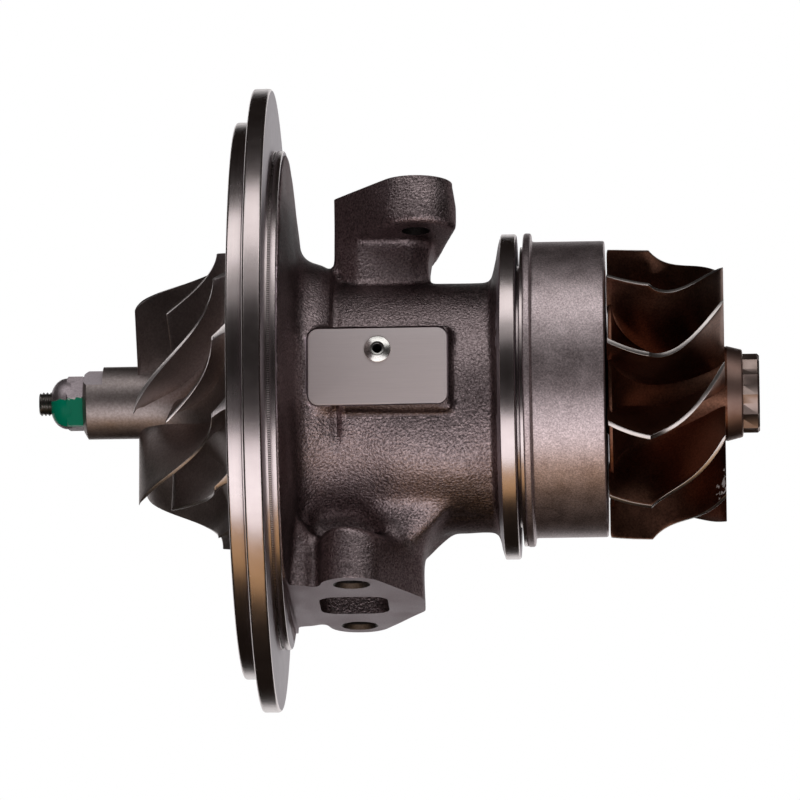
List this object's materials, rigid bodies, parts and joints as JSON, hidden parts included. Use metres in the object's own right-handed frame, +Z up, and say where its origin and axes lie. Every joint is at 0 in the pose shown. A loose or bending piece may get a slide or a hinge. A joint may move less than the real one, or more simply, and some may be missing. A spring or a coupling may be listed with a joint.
{
  "type": "turbo cartridge",
  "caption": "Turbocharger centre cartridge: cast bearing housing with a compressor flange, oil inlet and drain pads, heat shield, and a free-spinning rotor with bladed wheels.",
  "frame": {"origin": "on the shaft axis, in the plane of the face that the compressor cover seats on", "axes": "+X along the shaft toward the turbine wheel, +Z up toward the oil inlet"},
  "size_m": [0.1732, 0.15, 0.15],
  "materials": {
    "cast_housing": "sand cast, with machined rings and pads",
    "insert_aluminium": "turned",
    "seal_rubber": "moulded",
    "spring_steel": "phosphated",
    "sheet_steel": "pressed",
    "bearing_bronze": "ground",
    "ground_steel": "ground",
    "ring_iron": "ground",
    "shield_steel": "satin, spun",
    "plate_aluminium": "brushed",
    "rivet_aluminium": "bright",
    "turbine_alloy": "cast, ground tips",
    "wheel_aluminium": "cast, machined hub",
    "nut_steel": "plated, with a paint mark"
  },
  "bodies": {
    "housing": {"bearing_housing": "cast_housing", "seal_insert": "insert_aluminium", "insert_o_ring": "seal_rubber", "insert_retaining_ring": "spring_steel", "oil_deflector": "sheet_steel", "thrust_bearing": "bearing_bronze", "thrust_pins": "ground_steel", "compressor_seal_ring": "ring_iron", "turbine_seal_ring": "ring_iron", "bearing_snap_rings": "spring_steel", "heat_shield": "shield_steel", "nameplate": "plate_aluminium", "nameplate_rivet": "rivet_aluminium"},
    "rotor": {"rotor_shaft": "ground_steel", "turbine_wheel": "turbine_alloy", "compressor_wheel": "wheel_aluminium", "flinger_sleeve": "ground_steel", "front_thrust_ring": "ground_steel", "rear_thrust_ring": "ground_steel", "lock_nut": "nut_steel"},
    "compressor_bush": {"compressor_journal_bush": "bearing_bronze"},
    "turbine_bush": {"turbine_journal_bush": "bearing_bronze"}
  },
  "joints": [
    {"name": "rotor_spin", "type": "hinge", "parent": "housing", "child": "rotor", "pos_m": [0, 0, 0], "axis": [1, 0, 0], "continuous": true},
    {"name": "compressor_bush_spin", "type": "hinge", "parent": "housing", "child": "compressor_bush", "pos_m": [0, 0, 0], "axis": [1, 0, 0], "continuous": true},
    {"name": "turbine_bush_spin", "type": "hinge", "parent": "housing", "child": "turbine_bush", "pos_m": [0, 0, 0], "axis": [1, 0, 0], "continuous": true}
  ],
  "couplings": [
    {"joint": "compressor_bush_spin", "follows": "rotor_spin", "ratio": 0.3},
    {"joint": "turbine_bush_spin", "follows": "rotor_spin", "ratio": 0.3}
  ]
}
